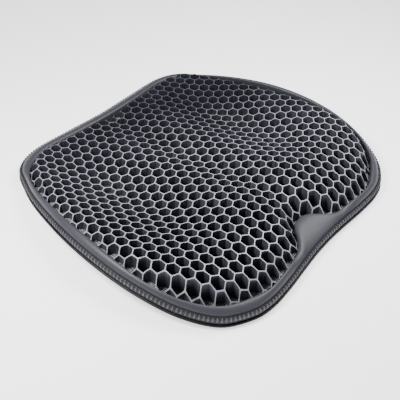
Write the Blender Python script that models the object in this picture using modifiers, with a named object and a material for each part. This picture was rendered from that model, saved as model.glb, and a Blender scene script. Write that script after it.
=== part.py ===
# Contoured honeycomb gel seat cushion with a padded rim.
# Metres, +Z up. X is the width, -Y is the front (the side with the tongue), Z = 0 is the resting plane.
# The origin is at the middle of the footprint.

import math

import bmesh
import bpy
from mathutils import Vector

# Driving dimensions

GAP = 0.0003                # clearance between neighbouring pieces

GRIP_THICKNESS = 0.0008     # rubber grip sheet, dots included
CLOTH_THICKNESS = 0.0015
LINER_THICKNESS = 0.0014
GRIP_MARGIN = 0.008         # bare strip of cloth outside the grip sheet
COVER_THICKNESS = 0.0012
BAND_THICKNESS = 0.0012

# The base is flat in the middle and curves up towards the middle of both sides.
FLAT_HALF_WIDTH = 0.060
CURVED_HALF_WIDTH = 0.220
SIDE_LIFT = 0.0206
LIFT_MIDDLE, LIFT_HALF_LENGTH = -0.010, 0.172
LIFT_POWER = 1.2

# Seat contour: a broad trough, two deeper hollows, a centre groove and a front that rolls down.
SEAT_HEIGHT = 0.0667
REAR_FALL = 0.0334          # fall towards the rear, for each metre
TROUGH_DEPTH, TROUGH_WIDTH = 0.0372, 0.232
TROUGH_MIDDLE, TROUGH_LENGTH = 0.106, 0.190
HOLLOW_DEPTH, HOLLOW_OFFSET, HOLLOW_WIDTH = 0.0126, 0.109, 0.042
HOLLOW_MIDDLE, HOLLOW_LENGTH = 0.018, 0.114
GROOVE_DEPTH, GROOVE_WIDTH = 0.0059, 0.0236
FRONT_DROP, FRONT_START, FRONT_LENGTH = 0.0043, 0.023, 0.0656

CLOTH_TOP = GRIP_THICKNESS + GAP + CLOTH_THICKNESS

# Rim cross-section: how far in from the outline, and how high above the base cloth's top.
BINDING_RADIUS = 0.0019
BINDING_HEIGHT = 0.0038     # of its middle, over the resting plane
BAND_FOOT = 0.0006
BAND_FOOT_HEIGHT = 0.0037
BAND_TOP = 0.0042
BAND_TOP_HEIGHT = 0.0130
BAND_BULGE = 0.0010
CREASE_GAP = 0.0019
CREASE_HEIGHT = 0.0122
LIP_HEIGHT = 0.0158
TONGUE_RISE = 0.08          # extra height of the lip for each metre of extra width
PLAIN_RIM_WIDTH = 0.016
GEL_EDGE_HEIGHT = 0.0060    # of the gel's outer edge, which dips beside the rim
FILLER_CLEARANCE = 0.0008   # room for the base cloth's twist under the foam
FILLER_SETBACK = 0.0008     # of the foam's inner foot, from the inner rim edge
FILLER_LIP_SETBACK = 0.0010
FILLER_FOOT_INSET = 0.0048
FILLER_SHOULDER_INSET = 0.0072
FILLER_SHOULDER_HEIGHT = 0.0080
THREAD_RADIUS = 0.0004
THREAD_POSITION = 0.55      # share of the way up the band

# Share of the way across the padded band, and how far the band stands over a straight line there.
COVER_PROFILE = ((0.0, 0.0), (0.2, 0.0029), (0.45, 0.0046), (0.75, 0.0047), (0.93, 0.0030), (1.0, 0.0))

# Outline and inner rim edge on the +X half, front to rear, as matched points: outer x, y, inner x, y.
HALF_STATIONS = (
    (0.0000, -0.2005, 0.0000, -0.1570),
    (0.0220, -0.2010, 0.0150, -0.1610),
    (0.0500, -0.2030, 0.0370, -0.1815),
    (0.0850, -0.2058, 0.0710, -0.1905),
    (0.1195, -0.2060, 0.1080, -0.1930),
    (0.1480, -0.1990, 0.1340, -0.1855),
    (0.1805, -0.1770, 0.1680, -0.1670),
    (0.2040, -0.1385, 0.1925, -0.1330),
    (0.2165, -0.0940, 0.2045, -0.0915),
    (0.2215, -0.0470, 0.2065, -0.0470),
    (0.2200, 0.0045, 0.2035, 0.0020),
    (0.2125, 0.0555, 0.1980, 0.0515),
    (0.1980, 0.1130, 0.1865, 0.1080),
    (0.1820, 0.1540, 0.1720, 0.1480),
    (0.1640, 0.1875, 0.1510, 0.1710),
    (0.1255, 0.2045, 0.1155, 0.1840),
    (0.0615, 0.2035, 0.0565, 0.1800),
    (0.0000, 0.2010, 0.0000, 0.1785),
)
STEPS_PER_STATION = 2

GEL_TOP_RINGS = (1.0, 0.955, 0.91, 0.84, 0.75, 0.65, 0.54, 0.42, 0.29, 0.15)
SHEET_RINGS = (1.0, 0.82, 0.62, 0.35)
EDGE_BLEND = {1.0: 1.0, 0.955: 0.45}    # how much of the rim's height each outer gel ring takes


def clear_scene():
    for thing in list(bpy.data.objects):
        bpy.data.objects.remove(thing, do_unlink=True)


def new_collection(name):
    collection = bpy.data.collections.new(name)
    bpy.context.scene.collection.children.link(collection)
    return collection


def make_material(name, colour, roughness, metallic=0.0):
    material = bpy.data.materials.new(name)
    material.use_nodes = True
    shader = material.node_tree.nodes["Principled BSDF"]
    shader.inputs["Base Color"].default_value = (*colour, 1.0)
    shader.inputs["Roughness"].default_value = roughness
    shader.inputs["Metallic"].default_value = metallic
    return material


def smooth_step(value):
    value = min(max(value, 0.0), 1.0)
    return value * value * (3.0 - 2.0 * value)


def base_lift(x, y):
    across = smooth_step((abs(x) - FLAT_HALF_WIDTH) / (CURVED_HALF_WIDTH - FLAT_HALF_WIDTH))
    along = max(1 - ((y - LIFT_MIDDLE) / LIFT_HALF_LENGTH) ** 2, 0.0)
    return SIDE_LIFT * across * along ** LIFT_POWER


def seat_top(x, y):
    trough = math.exp(-(x / TROUGH_WIDTH) ** 4) * math.exp(-((y - TROUGH_MIDDLE) / TROUGH_LENGTH) ** 4)
    hollow = math.exp(-((abs(x) - HOLLOW_OFFSET) / HOLLOW_WIDTH) ** 2)
    hollow *= math.exp(-((y - HOLLOW_MIDDLE) / HOLLOW_LENGTH) ** 4)
    groove = math.exp(-(x / GROOVE_WIDTH) ** 2)
    front = max(FRONT_START - y, 0.0) / FRONT_LENGTH
    return (SEAT_HEIGHT - REAR_FALL * y - TROUGH_DEPTH * trough - HOLLOW_DEPTH * hollow
            - GROOVE_DEPTH * groove - FRONT_DROP * front ** 2)


def smooth_loop(points):
    """A closed Catmull-Rom curve through the points."""
    count = len(points)
    loop = []
    for index in range(count):
        before, start, end, after = (points[(index + shift) % count] for shift in (-1, 0, 1, 2))
        for step in range(STEPS_PER_STATION):
            t = step / STEPS_PER_STATION
            loop.append(0.5 * (2 * start + (end - before) * t
                               + (2 * before - 5 * start + 4 * end - after) * t ** 2
                               + (3 * start - 3 * end + after - before) * t ** 3))
    return loop


def plan_loops():
    """The outline and the inner rim edge as closed loops of matched points, counter-clockwise."""
    outer = [Vector((x, y)) for x, y, _, _ in HALF_STATIONS]
    inner = [Vector((x, y)) for _, _, x, y in HALF_STATIONS]
    mirrored = [[Vector((-p.x, p.y)) for p in reversed(half[1:-1])] for half in (outer, inner)]
    return smooth_loop(outer + mirrored[0]), smooth_loop(inner + mirrored[1])


def inward_normals(loop):
    """Unit vectors square to a counter-clockwise loop, pointing inside it."""
    normals = []
    for index in range(len(loop)):
        along = loop[(index + 1) % len(loop)] - loop[index - 1]
        normals.append(Vector((-along.y, along.x)).normalized())
    return normals


OUTER, INNER = plan_loops()
INWARD = inward_normals(OUTER)


def on_base(plan, outer, inner, height):
    """A point over the rim's share of the curved base, which is straight from outline to inner edge."""
    share = (plan - outer).length / (inner - outer).length
    lift = base_lift(*outer) * (1 - share) + base_lift(*inner) * share
    return Vector((plan.x, plan.y, lift + height))


def rim_ring(inset, height):
    """A loop along the rim, inset from the outline."""
    return [on_base(outer + normal * inset, outer, inner, height)
            for outer, inner, normal in zip(OUTER, INNER, INWARD)]


def inner_ring(setback, height):
    """A loop along the rim, set back from its inner edge."""
    return [on_base(inner + (outer - inner).normalized() * setback, outer, inner, height)
            for outer, inner in zip(OUTER, INNER)]


def lip_height(outer, inner):
    return LIP_HEIGHT + TONGUE_RISE * ((inner - outer).length - PLAIN_RIM_WIDTH)


def crown_ring(share, bulge, drop=0.0):
    """A loop on the padded band, at a share of the way from the crease to the inner edge."""
    ring = []
    for outer, inner, normal in zip(OUTER, INNER, INWARD):
        plan = (outer + normal * (BAND_TOP + CREASE_GAP)).lerp(inner, share)
        chord = CREASE_HEIGHT + (lip_height(outer, inner) - CREASE_HEIGHT) * share
        ring.append(on_base(plan, outer, inner, CLOTH_TOP + chord + bulge - drop))
    return ring


def skin_loops(mesh, rings, closed=False):
    """Triangles between rings of equal length, all split the same way; closed joins the last to the first."""
    loops = [[mesh.verts.new(point) for point in ring] for ring in rings]
    pairs = list(zip(loops, loops[1:]))
    if closed:
        pairs.append((loops[-1], loops[0]))
    for near, far in pairs:
        join_loops(mesh, near, far)
    return loops


def join_loops(mesh, near, far):
    for index in range(len(near)):
        following = (index + 1) % len(near)
        mesh.faces.new((near[index], near[following], far[following]))
        mesh.faces.new((near[index], far[following], far[index]))


def finish_mesh(mesh, name, material, collection):
    bmesh.ops.recalc_face_normals(mesh, faces=mesh.faces)
    data = bpy.data.meshes.new(name)
    mesh.to_mesh(data)
    mesh.free()
    data.shade_smooth()
    data.set_sharp_from_angle(angle=math.radians(40))
    data.materials.append(material)
    thing = bpy.data.objects.new(name, data)
    collection.objects.link(thing)
    return thing


def disc_rings(scales, height):
    """Copies of the inner rim edge that shrink towards the origin, at height(x, y)."""
    rings = []
    for scale in scales:
        plans = [point * scale * (1 - GAP / point.length) for point in INNER]
        rings.append([Vector((plan.x, plan.y, height(plan.x, plan.y))) for plan in plans])
    return rings


def close_with_fan(mesh, ring, height):
    centre = mesh.verts.new((0.0, 0.0, height))
    for index, vert in enumerate(ring):
        mesh.faces.new((vert, ring[(index + 1) % len(ring)], centre))


def build_gel_pad(collection):
    """Envelope of the honeycomb gel: the contoured top falls beside the rim all round."""
    underside = CLOTH_TOP + GAP + LINER_THICKNESS + GAP
    top_rings = disc_rings(GEL_TOP_RINGS, seat_top)
    for ring, scale in zip(top_rings, GEL_TOP_RINGS):
        blend = EDGE_BLEND.get(scale, 0.0)
        for point, inner in zip(ring, INNER):
            edge = CLOTH_TOP + base_lift(*inner) + GEL_EDGE_HEIGHT
            point.z += (edge - point.z) * blend
    base_rings = disc_rings(SHEET_RINGS, lambda x, y: underside + base_lift(x, y))

    mesh = bmesh.new()
    base_loops = skin_loops(mesh, base_rings)
    top_loops = skin_loops(mesh, top_rings)
    join_loops(mesh, base_loops[0], top_loops[0])
    close_with_fan(mesh, base_loops[-1], underside)
    close_with_fan(mesh, top_loops[-1], seat_top(0.0, 0.0))
    colour = make_material("gel", (0.045, 0.048, 0.065), 0.38)
    return finish_mesh(mesh, "honeycomb_gel_pad", colour, collection)


def build_sheet(name, margin, underside, thickness, material, collection):
    """A thin sheet that follows the base's curve; with a margin it reaches that far inside the outline."""
    mesh = bmesh.new()
    rings = disc_rings(SHEET_RINGS, lambda x, y: underside + base_lift(x, y))
    if margin is not None:
        rings.insert(0, rim_ring(margin, underside))
    loops = skin_loops(mesh, rings)
    close_with_fan(mesh, loops[-1], underside)
    return finish_shell(mesh, name, thickness, 1.0, material, collection)


def finish_shell(mesh, name, thickness, offset, material, collection):
    """An open surface facing up, thickened upwards for offset 1 and downwards for offset -1."""
    for face in mesh.faces:
        face.normal_update()
        if face.normal.z < 0:
            face.normal_flip()
    data = bpy.data.meshes.new(name)
    mesh.to_mesh(data)
    mesh.free()
    data.shade_smooth()
    data.materials.append(material)
    thing = bpy.data.objects.new(name, data)
    collection.objects.link(thing)
    modifier = thing.modifiers.new("Thickness", "SOLIDIFY")
    modifier.thickness = thickness
    modifier.offset = offset
    modifier.use_even_offset = True
    return thing


def build_rim_cover(collection):
    """Smooth faux-leather band over the padding, from the crease to the lip beside the gel."""
    mesh = bmesh.new()
    skin_loops(mesh, [crown_ring(share, bulge) for share, bulge in COVER_PROFILE])
    return finish_shell(mesh, "rim_cover", COVER_THICKNESS, -1.0,
                        make_material("rim_leather", (0.13, 0.13, 0.15), 0.42), collection)


def band_ring(share, stand_off=0.0):
    """A loop on the steep stitched band, which bulges slightly, or standing off it."""
    inset = BAND_FOOT + (BAND_TOP - BAND_FOOT) * share - stand_off
    height = BAND_FOOT_HEIGHT + (BAND_TOP_HEIGHT - BAND_FOOT_HEIGHT) * share
    bulge = BAND_BULGE * math.sin(math.pi * share)
    return rim_ring(inset, CLOTH_TOP + height + bulge)


def build_side_band(collection):
    mesh = bmesh.new()
    skin_loops(mesh, [band_ring(share) for share in (0.0, 0.33, 0.67, 1.0)])
    return finish_shell(mesh, "stitched_side_band", BAND_THICKNESS, -1.0,
                        make_material("band_leather", (0.055, 0.057, 0.068), 0.5), collection)


def build_rim_filler(collection):
    """Foam core of the rim, under the cover and the side band."""
    drop = COVER_THICKNESS + 10 * GAP
    rings = [
        inner_ring(FILLER_SETBACK, CLOTH_TOP + FILLER_CLEARANCE),
        rim_ring(FILLER_FOOT_INSET, CLOTH_TOP + FILLER_CLEARANCE),
        rim_ring(FILLER_SHOULDER_INSET, CLOTH_TOP + FILLER_SHOULDER_HEIGHT),
    ]
    rings += [crown_ring(share, bulge, drop) for share, bulge in COVER_PROFILE[2:4]]
    rings.append(inner_ring(FILLER_LIP_SETBACK, CLOTH_TOP + LIP_HEIGHT - drop - FILLER_LIP_SETBACK))
    mesh = bmesh.new()
    skin_loops(mesh, rings, closed=True)
    return finish_mesh(mesh, "rim_filler", make_material("foam", (0.10, 0.10, 0.11), 0.9), collection)


def build_tube(name, ring, radius, sides, material, collection):
    """A closed round cord along the ring."""
    curve = bpy.data.curves.new(name, "CURVE")
    curve.dimensions = "3D"
    curve.bevel_depth = radius
    curve.bevel_resolution = sides // 2 - 2
    curve.twist_mode = "Z_UP"
    spline = curve.splines.new("POLY")
    spline.points.add(len(ring) - 1)
    for point, place in zip(spline.points, ring):
        point.co = (*place, 1.0)
    spline.use_cyclic_u = True
    curve.materials.append(material)
    thing = bpy.data.objects.new(name, curve)
    collection.objects.link(thing)
    return thing


def build_edge_binding(collection):
    """Rolled edge of the base cloth that closes the foot of the side band."""
    ring = rim_ring(BINDING_RADIUS, BINDING_HEIGHT)
    return build_tube("edge_binding", ring, BINDING_RADIUS, 6,
                      make_material("binding", (0.018, 0.018, 0.022), 0.7), collection)


def build_stitching(collection):
    """Seam thread along the side band."""
    ring = band_ring(THREAD_POSITION, stand_off=THREAD_RADIUS + 2 * GAP)
    return build_tube("band_stitching", ring, THREAD_RADIUS, 4,
                      make_material("thread", (0.17, 0.17, 0.19), 0.6), collection)


def build_cushion():
    clear_scene()
    collection = new_collection("seat_cushion")
    build_gel_pad(collection)
    liner_cloth = make_material("spacer_mesh", (0.025, 0.026, 0.032), 0.8)
    build_sheet("mesh_liner", None, CLOTH_TOP + GAP, LINER_THICKNESS, liner_cloth, collection)
    base_cloth = make_material("base_cloth", (0.022, 0.022, 0.026), 0.85)
    build_sheet("base_cloth", 2 * BINDING_RADIUS + GAP, GRIP_THICKNESS + GAP, CLOTH_THICKNESS,
                base_cloth, collection)
    build_rim_filler(collection)
    build_rim_cover(collection)
    build_side_band(collection)
    build_stitching(collection)
    build_edge_binding(collection)
    grip_rubber = make_material("grip_rubber", (0.03, 0.03, 0.035), 0.6)
    build_sheet("grip_sheet", GRIP_MARGIN, 0.0, GRIP_THICKNESS, grip_rubber, collection)


build_cushion()
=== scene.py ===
import math

import bmesh
import bpy
import numpy as np
from mathutils import Matrix, Vector


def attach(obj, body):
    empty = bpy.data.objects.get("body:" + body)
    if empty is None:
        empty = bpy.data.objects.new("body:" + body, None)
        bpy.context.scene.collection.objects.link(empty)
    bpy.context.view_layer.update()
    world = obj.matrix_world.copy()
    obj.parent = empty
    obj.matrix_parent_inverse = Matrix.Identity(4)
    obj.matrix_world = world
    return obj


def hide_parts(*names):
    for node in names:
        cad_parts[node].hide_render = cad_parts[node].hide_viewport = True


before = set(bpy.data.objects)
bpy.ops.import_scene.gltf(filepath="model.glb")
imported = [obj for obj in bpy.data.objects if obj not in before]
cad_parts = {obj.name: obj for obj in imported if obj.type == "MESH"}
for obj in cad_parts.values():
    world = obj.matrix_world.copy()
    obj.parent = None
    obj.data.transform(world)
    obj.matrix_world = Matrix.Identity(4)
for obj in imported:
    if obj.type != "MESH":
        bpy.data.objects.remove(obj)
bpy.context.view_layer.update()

mm = 0.001

# Outline and inner rim edge on the +X half, front to rear: outer x, y, inner x, y, in millimetres.
# These are rounded from a fitted outline, not drawn from arcs.
halfStations = (
    (0.0, -200.5, 0.0, -157.0),
    (22.0, -201.0, 15.0, -161.0),
    (50.0, -203.0, 37.0, -181.5),
    (85.0, -205.8, 71.0, -190.5),
    (119.5, -206.0, 108.0, -193.0),
    (148.0, -199.0, 134.0, -185.5),
    (180.5, -177.0, 168.0, -167.0),
    (204.0, -138.5, 192.5, -133.0),
    (216.5, -94.0, 204.5, -91.5),
    (221.5, -47.0, 206.5, -47.0),
    (220.0, 4.5, 203.5, 2.0),
    (212.5, 55.5, 198.0, 51.5),
    (198.0, 113.0, 186.5, 108.0),
    (182.0, 154.0, 172.0, 148.0),
    (164.0, 187.5, 151.0, 171.0),
    (125.5, 204.5, 115.5, 184.0),
    (61.5, 203.5, 56.5, 180.0),
    (0.0, 201.0, 0.0, 178.5),
)

base = {
    "flatHalfWidth": 60 * mm,
    "curvedHalfWidth": 220 * mm,
    "sideLift": 20.6 * mm,
    "liftMiddle": -10 * mm,
    "liftHalfLength": 172 * mm,
    "gripThickness": 0.8 * mm,
    "clothUnder": 1.1 * mm,
    "clothTop": 2.6 * mm,
    "linerTop": 4.3 * mm,
}


def smoothStep(value):
    value = np.clip(value, 0, 1)
    return value * value * (3 - 2 * value)


def baseLift(x, y):
    across = smoothStep((abs(x) - base["flatHalfWidth"]) / (base["curvedHalfWidth"] - base["flatHalfWidth"]))
    along = np.clip(1 - ((y - base["liftMiddle"]) / base["liftHalfLength"]) ** 2, 0, None)
    return base["sideLift"] * across * along ** 1.2


def smoothLoop(points, steps):
    # a closed Catmull-Rom curve
    points = np.array(points)
    loop = []
    for index in range(len(points)):
        before, start, end, after = (points[(index + shift) % len(points)] for shift in (-1, 0, 1, 2))
        for step in range(steps):
            t = step / steps
            loop.append(0.5 * (2 * start + (end - before) * t
                               + (2 * before - 5 * start + 4 * end - after) * t ** 2
                               + (3 * start - 3 * end + after - before) * t ** 3))
    return np.array(loop)


def planLoops(steps=8):
    half = np.array(halfStations) * mm
    outer, inner = half[:, :2], half[:, 2:]
    whole = [np.vstack([side, side[-2:0:-1] * (-1, 1)]) for side in (outer, inner)]
    return smoothLoop(whole[0], steps), smoothLoop(whole[1], steps)


outerLoop, innerLoop = planLoops()


def inwardNormals(loop):
    along = np.roll(loop, -1, 0) - np.roll(loop, 1, 0)
    normals = np.column_stack([-along[:, 1], along[:, 0]])
    return normals / np.linalg.norm(normals, axis=1)[:, None]


inward = inwardNormals(outerLoop)
rimWidth = np.linalg.norm(innerLoop - outerLoop, axis=1)


def overBase(plan, height):
    # the rim stands on a base that is straight across it
    share = np.linalg.norm(plan - outerLoop, axis=1) / rimWidth
    lift = baseLift(*outerLoop.T) * (1 - share) + baseLift(*innerLoop.T) * share
    return np.column_stack([plan, lift + height])


def rimRing(inset, height):
    return overBase(outerLoop + inward * inset, base["clothTop"] + height)


# Modelling helpers, each one a few operator calls

def deselectAll():
    if bpy.context.object and bpy.context.object.mode != "OBJECT":
        bpy.ops.object.mode_set(mode="OBJECT")
    bpy.ops.object.select_all(action="DESELECT")


def startRing(name, points):
    # a circle primitive whose points are moved onto the first ring
    deselectAll()
    bpy.ops.mesh.primitive_circle_add(vertices=len(points), radius=1)
    piece = bpy.context.object
    piece.name = name
    piece.data.name = name
    for vertex, point in zip(piece.data.vertices, points):
        vertex.co = point
    return piece


def placeExtruded(piece, oldPoints, newPoints):
    # moves the freshly extruded, selected vertices from the old ring onto the new one
    mesh = bmesh.from_edit_mesh(piece.data)
    lookup = {tuple(round(c * 1e6) for c in Vector(p)): i for i, p in enumerate(oldPoints)}
    for vertex in mesh.verts:
        if vertex.select:
            key = tuple(round(c * 1e6) for c in vertex.co)
            index = lookup.get(key)
            if index is None:
                index = int(np.argmin(np.linalg.norm(oldPoints - np.array(vertex.co), axis=1)))
            vertex.co = newPoints[index]
    bmesh.update_edit_mesh(piece.data)


def extrudeRings(piece, rings):
    # rings[0] is the piece's first ring; each further ring is extruded from the one before
    bpy.ops.object.mode_set(mode="EDIT")
    bpy.ops.mesh.select_all(action="SELECT")
    for oldRing, newRing in zip(rings, rings[1:]):
        bpy.ops.mesh.extrude_edges_move()
        placeExtruded(piece, oldRing, newRing)


def bridgeEnds(piece):
    # joins the open first and last rings
    bpy.ops.mesh.select_all(action="DESELECT")
    bpy.ops.mesh.select_mode(type="EDGE")
    bpy.ops.mesh.select_non_manifold()
    bpy.ops.mesh.bridge_edge_loops()


def recalculateOutside():
    bpy.ops.mesh.select_all(action="SELECT")
    bpy.ops.mesh.normals_make_consistent(inside=False)
    bpy.ops.object.mode_set(mode="OBJECT")


def activate(piece):
    deselectAll()
    piece.select_set(True)
    bpy.context.view_layer.objects.active = piece


def applyModifier(piece, kind, **settings):
    modifier = piece.modifiers.new(kind.title(), kind)
    for key, value in settings.items():
        setattr(modifier, key, value)
    bpy.context.view_layer.objects.active = piece
    bpy.ops.object.modifier_apply(modifier=modifier.name)


def smoothByAngle(piece, degrees=35):
    activate(piece)
    bpy.ops.object.shade_smooth_by_angle(angle=math.radians(degrees))


def copyTo(piece, matrix):
    # a copy with its own mesh, moved to its place
    copy = piece.copy()
    copy.data = piece.data.copy()
    copy.data.transform(matrix)
    bpy.context.collection.objects.link(copy)
    return copy


def joinCopies(name, pattern, copies):
    # one piece made of all the copies; the pattern they were copied from goes
    bpy.data.objects.remove(pattern, do_unlink=True)
    activate(copies[0])
    for copy in copies:
        copy.select_set(True)
    bpy.ops.object.join()
    joined = bpy.context.object
    joined.name = joined.data.name = name
    joined.matrix_world = Matrix()
    return joined


def ringBody(name, rings, closed=True, thickness=None, offset=-1.0, angle=50):
    piece = startRing(name, rings[0])
    extrudeRings(piece, rings)
    if closed:
        bridgeEnds(piece)
    recalculateOutside()
    if thickness:
        applyModifier(piece, "SOLIDIFY", thickness=thickness, offset=offset, use_even_offset=True)
    smoothByAngle(piece, angle)
    return piece


# Shader writing: Value wraps a number socket, Look builds one material

class Value:
    def __init__(self, look, socket):
        self.look = look
        self.socket = socket

    def math(self, operation, *others, clamp=False):
        return self.look.node("ShaderNodeMath", {"operation": operation, "use_clamp": clamp}, [self, *others])

    def __add__(self, other):
        return self.math("ADD", other)

    def __sub__(self, other):
        return self.math("SUBTRACT", other)

    def __mul__(self, other):
        return self.math("MULTIPLY", other)

    def __truediv__(self, other):
        return self.math("DIVIDE", other)

    def __rsub__(self, other):
        return self.look.node("ShaderNodeMath", {"operation": "SUBTRACT"}, [other, self])

    def __rtruediv__(self, other):
        return self.look.node("ShaderNodeMath", {"operation": "DIVIDE"}, [other, self])

    __radd__ = __add__
    __rmul__ = __mul__

    def clamped(self):
        return self.math("ADD", 0.0, clamp=True)

    def out(self, name):
        return Value(self.look, self.socket.node.outputs[name])


class Look:
    def __init__(self, name, colour, roughness, metallic=0.0, **fixed):
        self.material = bpy.data.materials.new(name)
        self.material.use_nodes = True
        self.tree = self.material.node_tree
        self.shader = self.tree.nodes["Principled BSDF"]
        self.set("Base Color", (*colour, 1))
        self.set("Roughness", roughness)
        self.set("Metallic", metallic)
        for key, value in fixed.items():
            self.set(key, value)
        self.material.diffuse_color = (*colour, 1)

    def feed(self, socket, value):
        if isinstance(value, Value):
            self.tree.links.new(value.socket, socket)
        elif value is not None:
            socket.default_value = value

    def set(self, key, value):
        self.feed(self.shader.inputs[key], value)

    def node(self, kind, settings=None, inputs=(), output=0):
        made = self.tree.nodes.new(kind)
        for key, value in (settings or {}).items():
            setattr(made, key, value)
        pairs = inputs.items() if isinstance(inputs, dict) else enumerate(inputs)
        for key, value in pairs:
            self.feed(made.inputs[key], value)
        return Value(self, made.outputs[output])

    def place(self, scale=(1, 1, 1), rotation=(0, 0, 0)):
        spot = self.node("ShaderNodeTexCoord").out("Object")
        return self.node("ShaderNodeMapping", {}, {"Vector": spot, "Scale": scale, "Rotation": rotation})

    def noise(self, scale, detail=2.0, roughness=0.5, spot=None):
        inputs = {"Vector": spot or self.place(), "Scale": scale, "Detail": detail, "Roughness": roughness}
        return self.node("ShaderNodeTexNoise", {}, inputs)

    def mix(self, factor, first, second):
        inputs = {0: factor, 6: colourOf(first), 7: colourOf(second)}
        return self.node("ShaderNodeMix", {"data_type": "RGBA"}, inputs, output=2)

    def attribute(self, name):
        return self.node("ShaderNodeAttribute", {"attribute_name": name}).out("Fac")

    def wave(self, scale, distortion, inputs=None, **settings):
        sockets = {"Vector": self.place(), "Scale": scale, "Distortion": distortion, **(inputs or {})}
        return self.node("ShaderNodeTexWave", settings, sockets)

    def bump(self, height, strength, distance):
        inputs = {"Height": height, "Strength": strength, "Distance": distance}
        self.set("Normal", self.node("ShaderNodeBump", {}, inputs))


def colourOf(value):
    return value if isinstance(value, Value) else (*value, 1)


def stretched(value, low, high):
    # 0 at low and 1 at high, and held there outside
    return ((value - low) / (high - low)).clamped()


def gelLook():
    settings = {
        "wall": (0.027, 0.027, 0.037),
        "wallPale": (0.084, 0.085, 0.107),
        # painted shade: the colour the walls take deep down in the cells
        "deepShade": (0.022, 0.022, 0.030),
        "shade": (0.008, 0.008, 0.012),
        "shadeDepth": 24 * mm,
        # painted highlight: the pale colour of the wall tops stands in for the lights reflected on them
        "top": (0.31, 0.32, 0.355),
        "topHighlightRear": (0.070, 0.073, 0.088),
        "fadeFrom": 20 * mm,    # painted shade on the walls and a dimmer painted highlight on the wall tops towards the rear and the +X side, between these
        "fadeTo": 170 * mm,
    }
    look = Look("gelMaterial", settings["wall"], 0.36, **{"Specular IOR Level": 0.40})
    clouds = look.noise(28.0, 3.0)
    ribs = look.noise(520.0, 2.0, 0.6, look.place((1, 1, 0.03)))
    tone = 0.4 * stretched(clouds, 0.35, 0.65) + 0.6 * stretched(ribs, 0.35, 0.65)
    walls = look.mix(tone, settings["wall"], settings["wallPale"])
    # painted highlight mask: 1 on the flat upper edge of the walls
    highlightMask = look.attribute("wallTopHighlight")
    fine = look.noise(420.0, 2.0)
    depth = look.attribute("depth")
    # painted shade: the walls darken with depth below the wall tops
    walls = look.mix(stretched(depth, 0.002, settings["shadeDepth"]), walls, settings["deepShade"])
    place = look.node("ShaderNodeSeparateXYZ", {}, [look.node("ShaderNodeTexCoord").out("Object")])
    # painted shade mask: 0 at the front, 1 towards the rear and the +X side, where the walls get painted
    # shade and the wall tops a dimmer painted highlight
    rearShade = stretched(place.out("Y") + 0.6 * place.out("X"), settings["fadeFrom"], settings["fadeTo"])
    topHighlights = look.mix(rearShade, settings["top"], settings["topHighlightRear"])
    walls = look.mix(0.65 * rearShade, walls, settings["shade"])
    # painted highlight on the wall tops, laid over the wall colour
    look.set("Base Color", look.mix(highlightMask * (0.75 + 0.4 * fine), walls, topHighlights))
    look.set("Roughness", 0.30 + 0.16 * clouds + 0.06 * fine)
    look.bump(0.6 * ribs + 0.4 * look.noise(900.0, 2.0), 0.25, 0.0003)
    return look.material


def leatherLook(name, dark, pale, roughness, grain, strength):
    look = Look(name, dark, roughness, **{"Specular IOR Level": 0.38})
    clouds = look.noise(16.0, 3.0)
    pores = look.node("ShaderNodeTexVoronoi", {"feature": "DISTANCE_TO_EDGE"},
                      {"Vector": look.place(), "Scale": grain})
    creases = stretched(pores, 0.0, 0.25)
    fine = look.noise(grain * 1.6, 3.0)
    tone = look.mix(stretched(clouds, 0.3, 0.7), dark, pale)
    look.set("Base Color", look.mix(0.25 * (1 - creases), tone, [0.4 * part for part in dark]))
    look.set("Roughness", roughness - 0.05 + 0.10 * fine + 0.08 * (1 - creases))
    look.bump(creases * 0.6 + fine * 0.4, strength, 0.0003)
    return look.material


def threadLook():
    look = Look("threadMaterial", (0.16, 0.16, 0.19), 0.55, **{"Sheen Weight": 0.3})
    twist = look.wave(620.0, 0.6, bands_direction="DIAGONAL")
    look.set("Base Color", look.mix(twist, (0.024, 0.024, 0.031), (0.046, 0.046, 0.057)))
    look.set("Roughness", 0.5 + 0.2 * look.noise(500.0))
    look.bump(twist, 0.25, 0.0002)
    return look.material


def meshLook():
    # knitted spacer mesh: pale wavy yarns over a dark ground
    look = Look("meshFabricMaterial", (0.02, 0.02, 0.026), 0.75, **{"Sheen Weight": 0.2})
    yarns = look.wave(150.0, 2.6, {"Detail": 1.0, "Detail Scale": 1.6}, bands_direction="Y")
    cross = look.wave(160.0, 1.5, bands_direction="X")
    rimLit = look.attribute("rimLit")
    # painted shade: the yarns dim away from the rim, where the cells are deep
    lines = stretched(yarns, 0.62, 0.95) * (0.35 + 0.65 * cross) * (0.2 + 0.8 * rimLit)
    look.set("Base Color", look.mix(lines, (0.006, 0.006, 0.009), (0.62, 0.63, 0.66)))
    look.set("Roughness", 0.6 + 0.2 * look.noise(300.0))
    look.bump(yarns * 0.7 + cross * 0.3, 0.6, 0.0005)
    return look.material


def wovenLook(name, dark, pale, scale, roughness, sheen=0.25):
    look = Look(name, dark, roughness, **{"Sheen Weight": sheen, "Specular IOR Level": 0.25})
    weave = look.wave(scale, 0.4, bands_direction="X") * look.wave(scale, 0.4, bands_direction="Y")
    look.set("Base Color", look.mix(weave * (0.5 + look.noise(60.0)), dark, pale))
    look.set("Roughness", roughness - 0.1 + 0.2 * look.noise(200.0))
    look.bump(weave, 0.3, 0.0003)
    return look.material


def rubberLook(name, dark, pale):
    look = Look(name, dark, 0.6)
    fine = look.noise(700.0, 3.0)
    look.set("Base Color", look.mix(look.noise(40.0), dark, pale))
    look.set("Roughness", 0.5 + 0.2 * fine)
    look.bump(fine, 0.2, 0.0002)
    return look.material


def foamLook():
    look = Look("foamMaterial", (0.09, 0.09, 0.10), 0.9)
    cells = look.node("ShaderNodeTexVoronoi", {}, {"Vector": look.place(), "Scale": 700.0})
    look.set("Base Color", look.mix(cells, (0.05, 0.05, 0.055), (0.12, 0.12, 0.13)))
    look.bump(cells, 0.6, 0.0004)
    return look.material


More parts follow.
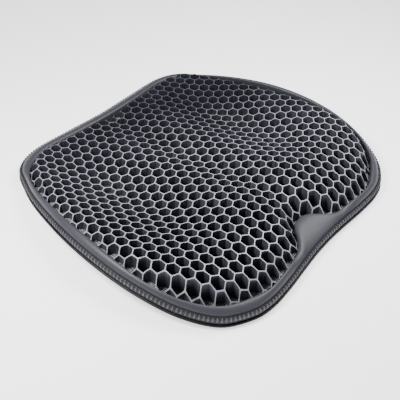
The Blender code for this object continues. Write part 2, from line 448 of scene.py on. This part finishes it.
def dress(piece, material, slot, *nodes):
    piece.data.materials.clear()
    piece.data.materials.append(material)
    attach(piece, "root")
    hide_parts(*nodes)


# Honeycomb gel pad

gel = {
    "pitch": 16.4 * mm,
    "wall": 0.92 * mm,
    "cornerRounding": 0.965,
    "edgeBevel": 0.17 * mm,
    "columns": 34,
    "rowPairs": 18,
    "underside": 0.2 * mm,
    "edgeHeight": 8.0 * mm,     # of the cell walls beside the rim, over the base cloth
    "shoulder": (22 * mm, 21 * mm, 8 * mm),     # how far from the rim they start to dive: sides, front, rear
    "shoulderCurve": 2.2,
    "frontEdgeRise": 3.5 * mm,
    "rearFill": 0.45,           # how much of the height the walls keep at the rear edge
    "latticeShift": -10.0 * mm,
    "rowOffset": 0.594,         # of a row's place past the middle, in pitches
    "seatHeight": 66.7 * mm,
    "rearFall": 0.0334,
    "trough": (37.2 * mm, 232 * mm, 106 * mm, 190 * mm),
    "hollow": (12.6 * mm, 109 * mm, 42 * mm, 18 * mm, 114 * mm),
    "groove": (5.9 * mm, 23.6 * mm),
    "front": (4.3 * mm, 23 * mm, 65.6 * mm),
}


def seatTop(x, y):
    depth, width, middle, length = gel["trough"]
    trough = depth * np.exp(-(x / width) ** 4) * np.exp(-((y - middle) / length) ** 4)
    depth, offset, width, middle, length = gel["hollow"]
    hollow = depth * np.exp(-((abs(x) - offset) / width) ** 2) * np.exp(-((y - middle) / length) ** 4)
    depth, width = gel["groove"]
    groove = depth * np.exp(-(x / width) ** 2)
    drop, start, length = gel["front"]
    front = drop * (np.clip(start - y, 0, None) / length) ** 2
    return gel["seatHeight"] - gel["rearFall"] * y - trough - hollow - groove - front


def distanceInside(points, loop):
    # distance from each plan point to the loop, negative outside it
    ends = np.roll(loop, -1, 0)
    along = ends - loop
    distance = np.full(len(points), 1e9)
    crossings = np.zeros(len(points), int)
    for start, step, end in zip(loop, along, ends):
        share = np.clip((points - start) @ step / (step @ step), 0, 1)
        distance = np.minimum(distance, np.linalg.norm(points - start - share[:, None] * step, axis=1))
        spans = (start[1] > points[:, 1]) != (end[1] > points[:, 1])
        with np.errstate(divide="ignore", invalid="ignore"):
            crossX = start[0] + (points[:, 1] - start[1]) / step[1] * step[0]
        crossings += spans & (points[:, 0] < crossX)
    return np.where(crossings % 2 == 1, distance, -distance)


def padTop(x, y, distance):
    sides, front, rear = gel["shoulder"]
    atFront = smoothStep((-y - 0.11) / 0.06) * smoothStep((0.16 - abs(x)) / 0.08)
    atRear = smoothStep((y - 0.12) / 0.05)
    reach = sides + (front - sides) * atFront + (rear - sides) * atRear
    blend = np.clip(1 - distance / reach, 0, 1) ** gel["shoulderCurve"]
    top = seatTop(x, y)
    edge = base["clothTop"] + baseLift(x, y) + gel["edgeHeight"] + gel["frontEdgeRise"] * atFront
    edge = edge + (top - edge) * gel["rearFill"] * atRear
    return top * (1 - blend) + np.minimum(edge, top) * blend


def linerRise(distance):
    # the mesh climbs to the inside of the rim
    return 7 * mm * np.clip(1 - distance / (30 * mm), 0, 1) ** 1.2


def narrowed(x, y):
    # cells get narrower towards the sides and the front; the coefficients come from a fit
    pitch = gel["pitch"]
    s = x / pitch / 14
    t = (y - gel["latticeShift"]) / pitch / 13 - 0.8 / 13
    newX = 14 * s * (1 - 0.087 * s ** 2 - 0.028 * t - 0.064 * t ** 2 - 0.032 * s ** 2 * t)
    newY = 13 * (t + 0.036 * s ** 2 - 0.006 * t ** 2 - 0.017 * t * s ** 2 - 0.004 * t ** 3)
    return newX * pitch, (newY + 0.8) * pitch + gel["latticeShift"]


def meshPoints(mesh):
    points = np.empty(len(mesh.vertices) * 3)
    mesh.vertices.foreach_get("co", points)
    return points.reshape(-1, 3)


def buildHoneycomb():
    pitch = gel["pitch"]
    rowStep = pitch * math.sqrt(3) / 2
    deselectAll()
    bpy.ops.mesh.primitive_circle_add(vertices=12, radius=pitch / math.sqrt(3), fill_type="NGON")
    pad = bpy.context.object
    pad.name = pad.data.name = "honeycombGel"
    firstRow = -gel["rowPairs"] * rowStep
    startY = firstRow + (gel["rowOffset"] + 0.8) * pitch + gel["latticeShift"]
    for index, vertex in enumerate(pad.data.vertices):
        if index % 2:       # every other point is the middle of a side
            vertex.co *= math.cos(math.pi / 6)
        vertex.co += Vector((-gel["columns"] / 2 * pitch, startY, 0))
    merge = {"use_relative_offset": False, "use_constant_offset": True,
             "use_merge_vertices": True, "merge_threshold": 0.0001}
    applyModifier(pad, "ARRAY", count=2, constant_offset_displace=(pitch / 2, rowStep, 0), **merge)
    applyModifier(pad, "ARRAY", count=gel["columns"] + 1, constant_offset_displace=(pitch, 0, 0), **merge)
    applyModifier(pad, "ARRAY", count=gel["rowPairs"], constant_offset_displace=(0, 2 * rowStep, 0), **merge)

    bpy.ops.object.mode_set(mode="EDIT")
    mesh = bmesh.from_edit_mesh(pad.data)
    faces = list(mesh.faces)
    middles = np.array([narrowed(*face.calc_center_median()[:2]) for face in faces])
    inside = distanceInside(middles, innerLoop)
    for face, distance in zip(faces, inside):
        face.select = bool(distance < -0.55 * pitch)
    bmesh.update_edit_mesh(pad.data)
    bpy.ops.mesh.delete(type="FACE")

    # cell walls: what an individual inset leaves round each cell
    bpy.ops.mesh.select_all(action="SELECT")
    bpy.ops.mesh.inset(thickness=gel["wall"] / 2, depth=0, use_individual=True, use_even_offset=True)
    mesh = bmesh.from_edit_mesh(pad.data)
    for face in mesh.faces:
        if face.select:
            middle = face.calc_center_median()
            reach = max((vertex.co - middle).length for vertex in face.verts)
            for vertex in face.verts:
                if (vertex.co - middle).length > reach * 0.95:
                    vertex.co = middle + (vertex.co - middle) * gel["cornerRounding"]
    bmesh.update_edit_mesh(pad.data)
    bpy.ops.mesh.delete(type="FACE")
    bpy.ops.mesh.select_all(action="SELECT")
    bpy.ops.mesh.extrude_region_move(TRANSFORM_OT_translate={"value": (0, 0, -1)})

    # the rounded upper edge of every wall
    mesh = bmesh.from_edit_mesh(pad.data)
    mesh.normal_update()
    for edge in mesh.edges:
        top = all(vertex.co.z > -0.5 for vertex in edge.verts)
        upright = [abs(face.normal.z) < 0.5 for face in edge.link_faces]
        edge.select = bool(top and len(upright) == 2 and upright[0] != upright[1])
    bmesh.update_edit_mesh(pad.data)
    bpy.ops.mesh.bevel(offset=gel["edgeBevel"], segments=1, affect="EDGES")
    recalculateOutside()

    points = meshPoints(pad.data)
    x, y = narrowed(points[:, 0], points[:, 1])
    distance = distanceInside(np.column_stack([x, y]), innerLoop)
    upper = points[:, 2] > -0.5
    low = base["linerTop"] + gel["underside"] + baseLift(x, y) + linerRise(np.clip(distance, 0, None))
    high = padTop(x, y, np.clip(distance, 0, None)) + np.where(upper, points[:, 2], 0)
    z = np.where(upper, np.maximum(high, low + 1.0 * mm), low)
    pad.data.vertices.foreach_set("co", np.column_stack([x, y, z]).ravel())
    pad.data.update()
    trimToRim(pad)
    markWallTops(pad)
    smoothByAngle(pad, 32)
    return pad


def markWallTops(pad):
    # the wall-top mark is 1 on the upper edge of the walls, which gets a painted highlight, and 0 down their
    # sides; depth grows down them and feeds the painted shade
    points = meshPoints(pad.data)
    distance = np.clip(distanceInside(points[:, :2], innerLoop), 0, None)
    below = padTop(points[:, 0], points[:, 1], distance) - points[:, 2]
    pad.data.attributes.new("depth", "FLOAT", "POINT").data.foreach_set("value", np.clip(below, 0, None))
    isTop = below < gel["edgeBevel"] + 0.12 * mm
    marks = pad.data.attributes.new("wallTopHighlight", "FLOAT", "FACE")
    for polygon, mark in zip(pad.data.polygons, marks.data):
        mark.value = float(all(isTop[index] for index in polygon.vertices))


def trimToRim(pad):
    # cuts the cells off at the inside of the rim
    rim = [np.column_stack([innerLoop, np.full(len(innerLoop), height)]) for height in (-0.02, 0.09)]
    cutter = startRing("rimCutter", rim[0])
    extrudeRings(cutter, rim)
    bpy.ops.mesh.select_all(action="DESELECT")
    bpy.ops.mesh.select_mode(type="EDGE")
    bpy.ops.mesh.select_non_manifold()
    bpy.ops.mesh.edge_face_add()
    for side in (0, 1):
        mesh = bmesh.from_edit_mesh(cutter.data)
        level = rim[side][0][2]
        for edge in mesh.edges:
            edge.select = all(abs(vertex.co.z - level) < 1e-5 for vertex in edge.verts)
        bmesh.update_edit_mesh(cutter.data)
        bpy.ops.mesh.edge_face_add()
    recalculateOutside()
    applyModifier(pad, "BOOLEAN", operation="INTERSECT", object=cutter, solver="EXACT")
    bpy.data.objects.remove(cutter, do_unlink=True)


honeycomb = buildHoneycomb()
dress(honeycomb, gelLook(), "gel", "honeycomb_gel_pad")
print("honeycomb gel:", len(honeycomb.data.polygons), "faces")

# Rim

rim = {
    "creaseInset": 5.2 * mm,
    "creaseHeight": 12.0 * mm,
    "lipHeight": 15.4 * mm,
    "lipTurn": 11.0 * mm,
    "tongueRise": 0.08,
    "tongueDip": (4.4 * mm, 44 * mm, 17 * mm),
    "plainWidth": 16 * mm,
    "skin": 1.1 * mm,
    "leather": {"dark": (0.033, 0.033, 0.042), "pale": (0.041, 0.041, 0.051),
                "roughness": 0.42, "grain": 1500.0, "strength": 0.16},
    # share of the way across, and how far it stands over a straight line
    "section": ((0.0, -0.9), (0.03, 0.6), (0.10, 1.9), (0.2, 3.1), (0.33, 4.1), (0.48, 4.7), (0.63, 4.9),
                (0.77, 4.6), (0.88, 3.6), (0.96, 2.1), (1.0, 0.0)),
}


def crownRing(share, bulge, drop=0.0):
    start = outerLoop + inward * rim["creaseInset"]
    plan = start * (1 - share) + innerLoop * share
    lip = rim["lipHeight"] + rim["tongueRise"] * (rimWidth - rim["plainWidth"])
    depth, offset, width = rim["tongueDip"]
    lip = lip - depth * np.exp(-((abs(innerLoop[:, 0]) - offset) / width) ** 2) * (innerLoop[:, 1] < -0.1)
    chord = rim["creaseHeight"] + (lip - rim["creaseHeight"]) * share
    return overBase(plan, base["clothTop"] + chord + bulge * mm - drop)


def buildRimCover():
    rings = [crownRing(share, bulge) for share, bulge in rim["section"]]
    turned = crownRing(1.0, 0.0, rim["lipTurn"])
    rings += [rings[-1] * 0.5 + turned * 0.5, turned]
    cover = ringBody("rimCover", rings, closed=False, thickness=rim["skin"], angle=60)
    applyModifier(cover, "SUBSURF", levels=1, render_levels=1)
    return cover


rimCover = buildRimCover()
rimLeather = leatherLook("rimLeatherMaterial", **rim["leather"])
dress(rimCover, rimLeather, "rim_leather", "rim_cover")


foam = {
    "innerShare": 0.92,
    "innerDrops": (-9.0, -12.0),
    "foot": (5.6 * mm, 0.8 * mm),
    "shoulder": (6.4 * mm, 7 * mm),
    "topShares": (0.30, 0.55, 0.80),
    "topBulge": 4.0,
    "topDrop": 2.6 * mm,
}


def buildRimFoam():
    rings = [crownRing(foam["innerShare"], drop) for drop in foam["innerDrops"]]
    rings += [rimRing(*foam["foot"]), rimRing(*foam["shoulder"])]
    rings += [crownRing(share, foam["topBulge"], foam["topDrop"]) for share in foam["topShares"]]
    return ringBody("rimFoam", rings, angle=60)


rimFoam = buildRimFoam()
dress(rimFoam, foamLook(), "foam", "rim_filler")
print("rim cover and foam")

# Stitched side band

band = {
    "foot": (2.7, 3.1),
    "top": (4.6, 13.0),
    "bulge": 2.6,
    "skin": 1.1 * mm,
    "stitchPitch": 5.0 * mm,
    "stitchLength": 5.6 * mm,
    "stitchRadius": 0.9 * mm,
    "stitchLean": 0,
    "seamShare": 0.55,
    "leather": {"dark": (0.009, 0.009, 0.013), "pale": (0.016, 0.016, 0.021),
                "roughness": 0.62, "grain": 1900.0, "strength": 0.25},
    # closer together at the two channels
    "ringShares": (0.0, 0.06, 0.14, 0.22, 0.28, 0.34, 0.42, 0.55, 0.68, 0.78, 0.84, 0.90, 0.96, 1.0),
}


def bandRing(share, standOff=0.0):
    inset = band["foot"][0] + (band["top"][0] - band["foot"][0]) * share
    height = band["foot"][1] + (band["top"][1] - band["foot"][1]) * share
    swell = band["bulge"] * math.sin(math.pi * share)
    # a shallow channel on each side of the seam
    channel = 0.45 * math.exp(-((share - 0.28) / 0.05) ** 2) + 0.45 * math.exp(-((share - 0.84) / 0.05) ** 2)
    return rimRing((inset - 0.5 * swell + channel) * mm - standOff, (height + 0.6 * swell) * mm)


def buildSideBand():
    rings = [bandRing(share) for share in band["ringShares"]]
    rolled = rimRing(5.6 * mm, 12.0 * mm)
    return ringBody("sideBand", rings + [rolled], closed=False, thickness=band["skin"], angle=60)


sideBand = buildSideBand()
bandLeather = leatherLook("bandLeatherMaterial", **band["leather"])
dress(sideBand, bandLeather, "band_leather", "stitched_side_band")


def evenPlaces(ring, pitch):
    # evenly spaced places along a closed ring, with the ring's direction at each
    ends = np.roll(ring, -1, 0)
    lengths = np.linalg.norm(ends - ring, axis=1)
    total = lengths.sum()
    count = round(total / pitch)
    starts = np.concatenate([[0], np.cumsum(lengths)[:-1]])
    for number in range(count):
        travelled = number / count * total
        index = int(np.searchsorted(starts, travelled, side="right") - 1)
        share = (travelled - starts[index]) / lengths[index]
        along = Vector((ends[index] - ring[index]) / lengths[index])
        yield index, Vector(ring[index] + (ends[index] - ring[index]) * share), along


def buildOneStitch():
    # a short thread with rounded ends that dip into the leather
    deselectAll()
    radius = band["stitchRadius"]
    half = band["stitchLength"] * 0.3
    bpy.ops.mesh.primitive_cylinder_add(vertices=6, radius=radius, depth=2 * half)
    stitch = bpy.context.object
    bpy.ops.object.mode_set(mode="EDIT")
    for end in (-1, 1):
        mesh = bmesh.from_edit_mesh(stitch.data)
        for face in mesh.faces:
            face.select = bool(face.normal.z * end > 0.9)
        bpy.ops.mesh.extrude_region_move(TRANSFORM_OT_translate={"value": (0, 0, end * half * 0.45)})
        bpy.ops.transform.resize(value=(0.75, 0.75, 1), center_override=(0, 0, end * half * 1.45))
        bpy.ops.transform.translate(value=(0, -0.25 * radius, 0))
        bpy.ops.mesh.extrude_region_move(TRANSFORM_OT_translate={"value": (0, 0, end * half * 0.22)})
        bpy.ops.transform.resize(value=(0.35, 0.35, 1), center_override=(0, 0, end * half * 1.67))
        bpy.ops.transform.translate(value=(0, -0.9 * radius, 0))
    bpy.ops.object.mode_set(mode="OBJECT")
    return stitch


def buildStitching():
    # one stitch modelled once, then copied along the seam, with each copy its own mesh
    stitch = buildOneStitch()
    seam = bandRing(band["seamShare"], 0.15 * mm)
    lower, upper = bandRing(band["seamShare"] - 0.1), bandRing(band["seamShare"] + 0.1)
    lean = Matrix.Rotation(math.radians(band["stitchLean"]), 4, "Y")
    copies = []
    for index, place, along in evenPlaces(seam, band["stitchPitch"]):
        up = Vector(upper[index] - lower[index]).normalized()
        outward = along.cross(up).normalized()
        up = outward.cross(along).normalized()
        axes = Matrix((along, outward, up)).transposed().to_4x4()
        copies.append(copyTo(stitch, Matrix.Translation(place) @ axes @ lean))
    thread = joinCopies("bandStitches", stitch, copies)
    bpy.ops.object.mode_set(mode="EDIT")
    recalculateOutside()
    smoothByAngle(thread, 60)
    return thread


bandStitches = buildStitching()
dress(bandStitches, threadLook(), "thread", "band_stitching")
print("side band and stitches:", len(bandStitches.data.polygons), "faces")

# Edge binding

binding = {"radius": 1.9 * mm, "height": 1.2 * mm, "sides": 10}


def buildBinding():
    rings = []
    for side in range(binding["sides"]):
        turn = 2 * math.pi * side / binding["sides"]
        across = binding["radius"] * (1 - math.cos(turn))
        rings.append(rimRing(across, binding["height"] + binding["radius"] * math.sin(turn)))
    return ringBody("edgeBinding", rings, angle=60)


edgeBinding = buildBinding()
bindingWeave = wovenLook("bindingMaterial", (0.004, 0.004, 0.006), (0.010, 0.010, 0.013), 520.0, 0.42, 0.0)
dress(edgeBinding, bindingWeave, "binding_tape", "edge_binding")
print("edge binding:", len(edgeBinding.data.polygons), "faces")

# Base cloth, mesh liner and grip sheet

sheets = {
    "scales": (0.998, 0.985, 0.97, 0.95, 0.93, 0.905, 0.88, 0.85, 0.82,
               0.75, 0.64, 0.52, 0.38, 0.24, 0.10),
    "linerGap": 0.3 * mm,
    "clothMargin": 3.4 * mm,
    "fullLightRise": 2.5 * mm,    # how far the liner has risen where its painted light is full
    "linerThickness": 1.4 * mm,
    "clothThickness": 1.4 * mm,
    "filmThickness": 0.35 * mm,
    "gripMargin": 9 * mm,
    "dotRadius": 3.2 * mm,
    "dotSpacing": 19 * mm,
    "dotMargin": 20 * mm,
}


def sheetRings(margin, under):
    # rings that shrink towards the middle; a margin makes the first one follow the outline
    rings = []
    if margin is not None:
        rings.append(overBase(outerLoop + inward * margin, under))
    for scale in sheets["scales"]:
        plan = innerLoop * scale
        height = baseLift(*plan.T) + under
        if margin is None:
            height = height + linerRise(distanceInside(plan, innerLoop))
        rings.append(np.column_stack([plan, height]))
    return rings


def buildSheet(name, margin, under, thickness):
    rings = sheetRings(margin, under)
    sheet = startRing(name, rings[0])
    extrudeRings(sheet, rings)
    bpy.ops.mesh.edge_face_add()
    recalculateUp(sheet)
    applyModifier(sheet, "SOLIDIFY", thickness=thickness, offset=1.0, use_even_offset=True)
    smoothByAngle(sheet, 50)
    return sheet


def recalculateUp(sheet):
    bpy.ops.mesh.select_all(action="SELECT")
    bpy.ops.mesh.normals_make_consistent(inside=False)
    mesh = bmesh.from_edit_mesh(sheet.data)
    if sum(face.normal.z for face in mesh.faces) < 0:
        bpy.ops.mesh.flip_normals()
    bpy.ops.object.mode_set(mode="OBJECT")


meshLiner = buildSheet("meshLiner", None, base["clothTop"] + sheets["linerGap"], sheets["linerThickness"])
# painted light and shade: paler where it climbs to the rim and darker deep in the middle cells, so that its
# yarns show in the last cells
fromRim = np.clip(distanceInside(meshPoints(meshLiner.data)[:, :2], innerLoop), 0, None)
litShare = np.clip(linerRise(fromRim) / sheets["fullLightRise"], 0, 1)
meshLiner.data.attributes.new("rimLit", "FLOAT", "POINT").data.foreach_set("value", litShare)
dress(meshLiner, meshLook(), "mesh_fabric", "mesh_liner")

baseCloth = buildSheet("baseCloth", sheets["clothMargin"], base["clothUnder"], sheets["clothThickness"])
clothWeave = wovenLook("baseClothMaterial", (0.012, 0.012, 0.015), (0.040, 0.040, 0.047), 700.0, 0.8)
dress(baseCloth, clothWeave, "base_fabric", "base_cloth")

filmUnder = base["gripThickness"] - sheets["filmThickness"]
gripFilm = buildSheet("gripFilm", sheets["gripMargin"], filmUnder, sheets["filmThickness"])
dress(gripFilm, rubberLook("gripFilmMaterial", (0.014, 0.014, 0.017), (0.026, 0.026, 0.030)),
      "grip_rubber", "grip_sheet")


def buildDots():
    # raised dots under the film, staggered, leaning with it where the base curves up
    deselectAll()
    depth = filmUnder
    bpy.ops.mesh.primitive_cylinder_add(vertices=12, radius=sheets["dotRadius"], depth=depth)
    dot = bpy.context.object
    bpy.ops.object.mode_set(mode="EDIT")
    mesh = bmesh.from_edit_mesh(dot.data)
    for edge in mesh.edges:
        edge.select = all(vertex.co.z < 0 for vertex in edge.verts)
    bmesh.update_edit_mesh(dot.data)
    bpy.ops.mesh.bevel(offset=0.18 * mm, segments=1, affect="EDGES")
    bpy.ops.object.mode_set(mode="OBJECT")
    spacing = sheets["dotSpacing"]
    rowStep = spacing * math.sqrt(3) / 2
    copies = []
    for row in range(-14, 15):
        for column in range(-14, 15):
            x = (column + (0.5 if row % 2 else 0)) * spacing
            y = row * rowStep
            if distanceInside(np.array([[x, y]]), outerLoop)[0] < sheets["dotMargin"]:
                continue
            step = 1 * mm
            leanX = float(baseLift(x + step, y) - baseLift(x - step, y)) / (2 * step)
            leanY = float(baseLift(x, y + step) - baseLift(x, y - step)) / (2 * step)
            turn = Matrix.Rotation(-math.atan(leanX), 4, "Y") @ Matrix.Rotation(math.atan(leanY), 4, "X")
            place = Matrix.Translation((x, y, float(baseLift(x, y)) + depth / 2))
            copies.append(copyTo(dot, place @ turn))
    dots = joinCopies("gripDots", dot, copies)
    smoothByAngle(dots, 40)
    return dots


gripDots = buildDots()
dress(gripDots, rubberLook("gripDotMaterial", (0.060, 0.060, 0.068), (0.085, 0.085, 0.095)),
      "grip_rubber", "grip_sheet")
print("base cloth, liner and grip sheet")

# Stage, light and camera

stage = {
    "floorSize": 8,
    "floorHeight": -0.2 * mm,
    "floorDark": (0.94, 0.94, 0.94),
    "floorPale": (0.96, 0.96, 0.96),
    "floorGlow": 1.3,
    "backdrop": (0.95, 0.96, 1.0, 1),
    "backdropStrength": 0.27,
    # azimuth and elevation in degrees, distance, size, power
    "keyLight": (164, 54, 0.75, (0.2, 0.2), 9.5),
    "backLight": (326, 60, 0.68, (0.4, 0.3), 7.0),
    "lens": 52.4,
    "cameraPlace": (-0.4787, -0.3817, 0.5316),
    "cameraBack": (-0.5688, -0.4537, 0.6860),
    "cameraSideways": (0.6420, -0.7666, 0.0256),
}


def buildStage():
    deselectAll()
    bpy.ops.mesh.primitive_plane_add(size=stage["floorSize"], location=(0, 0, stage["floorHeight"]))
    floor = bpy.context.object
    floor.name = "floor"
    look = Look("floorMaterial", (0.92, 0.92, 0.92), 0.7)
    look.set("Base Color", look.mix(look.noise(3.0), stage["floorDark"], stage["floorPale"]))
    look.set("Emission Color", (1, 1, 1, 1))
    look.set("Emission Strength", stage["floorGlow"])
    floor.data.materials.append(look.material)


def addSoftbox(name, azimuth, elevation, distance, size, power):
    data = bpy.data.lights.new(name, "AREA")
    data.shape = "RECTANGLE"
    data.size, data.size_y = size
    data.energy = power
    light = bpy.data.objects.new(name, data)
    bpy.context.collection.objects.link(light)
    turn, rise = math.radians(azimuth), math.radians(elevation)
    towards = Vector((math.cos(turn) * math.cos(rise), math.sin(turn) * math.cos(rise), math.sin(rise)))
    light.location = towards * distance
    light.rotation_euler = towards.to_track_quat("Z", "Y").to_euler()


def buildLights():
    world = bpy.context.scene.world or bpy.data.worlds.new("studio")
    bpy.context.scene.world = world
    world.use_nodes = True
    backdrop = world.node_tree.nodes["Background"]
    backdrop.inputs["Color"].default_value = stage["backdrop"]
    backdrop.inputs["Strength"].default_value = stage["backdropStrength"]
    for name in ("keyLight", "backLight"):
        addSoftbox(name, *stage[name])


def buildCamera():
    # the sightline and roll are fitted values
    place = Vector(stage["cameraPlace"])
    back = Vector(stage["cameraBack"]).normalized()
    sideways = Vector(stage["cameraSideways"])
    sideways = (sideways - back * sideways.dot(back)).normalized()
    upward = back.cross(sideways)
    data = bpy.data.cameras.new("camera")
    data.lens = stage["lens"]
    data.sensor_width = 36
    data.clip_start = 0.01
    camera = bpy.data.objects.new("camera", data)
    bpy.context.collection.objects.link(camera)
    camera.matrix_world = Matrix.Translation(place) @ Matrix((sideways, upward, back)).transposed().to_4x4()
    bpy.context.scene.camera = camera


buildStage()
buildLights()
buildCamera()
print("stage, lights and camera")
